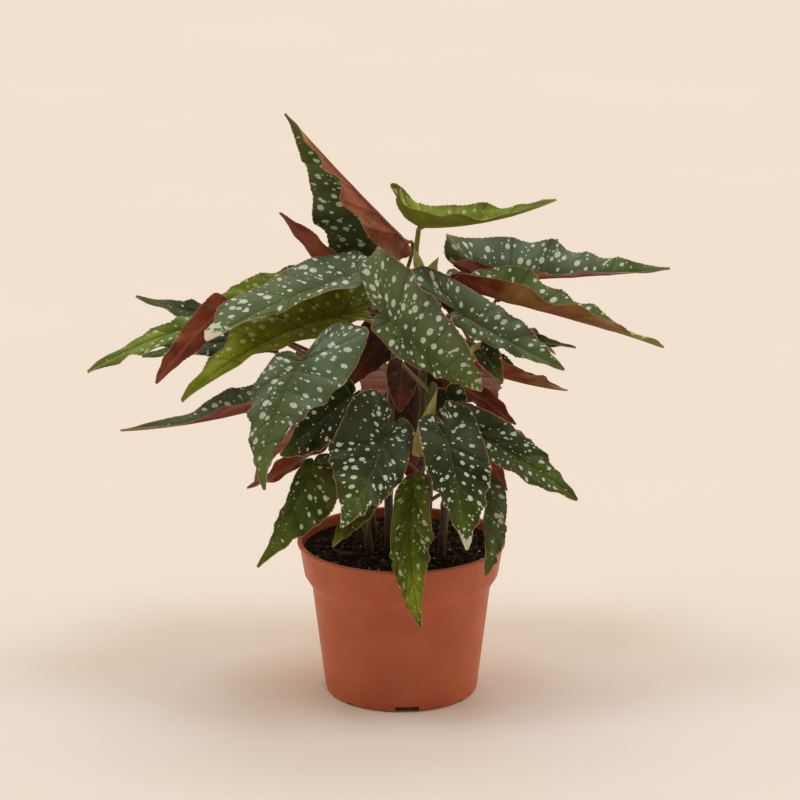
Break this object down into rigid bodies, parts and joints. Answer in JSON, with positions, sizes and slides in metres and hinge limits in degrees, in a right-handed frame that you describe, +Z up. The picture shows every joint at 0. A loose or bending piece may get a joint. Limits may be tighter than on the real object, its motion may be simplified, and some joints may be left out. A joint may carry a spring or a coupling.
{
  "type": "potted begonia",
  "caption": "Bushy cane begonia with lobed, pointed, white-spotted leaves that are red beneath, rooted in soil in a round tapered nursery pot.",
  "frame": {"origin": "middle of the flat pad under the pot, where the pot rests", "axes": "+Z up, -Y towards the viewer of the picture, +X to the right"},
  "size_m": [0.3295, 0.2168, 0.3363],
  "materials": {
    "pot": "terracotta-coloured plastic, satin-matte, faint turning lines",
    "soil": "dark moist potting mix of peat and bark with pale bits",
    "cane": "smooth olive-brown stems with pale papery sheaths",
    "leaf_mature": "dark grey-green with silver-white spots above, crimson beneath, pale toothed edge",
    "leaf_young": "bright yellow-green with pale spots above, reddish beneath, pale toothed edge"
  },
  "bodies": {
    "root": {"pot": "pot", "soil": "soil", "cane_left": "cane", "cane_crown": "cane", "cane_young": "cane", "cane_right": "cane", "cane_front": "cane", "cane_back_left": "cane", "cane_back_right": "cane", "leaf_centre": "leaf_mature", "leaf_front_left": "leaf_mature", "leaf_left_broad": "leaf_mature", "leaf_left_bright": "leaf_young", "leaf_left_crest": "leaf_young", "leaf_far_left_top": "leaf_mature", "leaf_far_left": "leaf_mature", "leaf_left_red": "leaf_mature", "leaf_far_left_low": "leaf_mature", "leaf_left_low": "leaf_mature", "leaf_crown_tall": "leaf_mature", "leaf_crown_red": "leaf_mature", "leaf_crown_young": "leaf_young", "leaf_right_top": "leaf_mature", "leaf_right_folded": "leaf_young", "leaf_right_middle": "leaf_mature", "leaf_right_behind": "leaf_mature", "leaf_right_slim": "leaf_mature", "leaf_right_red": "leaf_mature", "leaf_right_small": "leaf_mature", "leaf_right_low": "leaf_mature", "leaf_right_brown": "leaf_mature", "leaf_front_right": "leaf_mature", "leaf_front_dark": "leaf_mature", "leaf_front_middle": "leaf_mature", "leaf_over_rim": "leaf_young", "leaf_rim_right": "leaf_mature", "leaf_low_red": "leaf_mature", "leaf_low_left_red": "leaf_mature", "leaf_low_left_dark": "leaf_mature", "leaf_low_left": "leaf_young", "leaf_inner_a": "leaf_mature", "leaf_inner_b": "leaf_mature", "leaf_inner_c": "leaf_mature", "leaf_near_soil": "leaf_mature", "leaf_back_a": "leaf_mature", "leaf_back_b": "leaf_mature", "leaf_back_c": "leaf_mature", "leaf_back_d": "leaf_mature", "leaf_back_e": "leaf_mature", "leaf_back_f": "leaf_mature", "leaf_back_g": "leaf_mature", "leaf_back_h": "leaf_mature", "leaf_back_i": "leaf_young", "leaf_back_j": "leaf_mature", "leaf_back_k": "leaf_mature", "leaf_inner_d": "leaf_mature"}
  },
  "joints": []
}
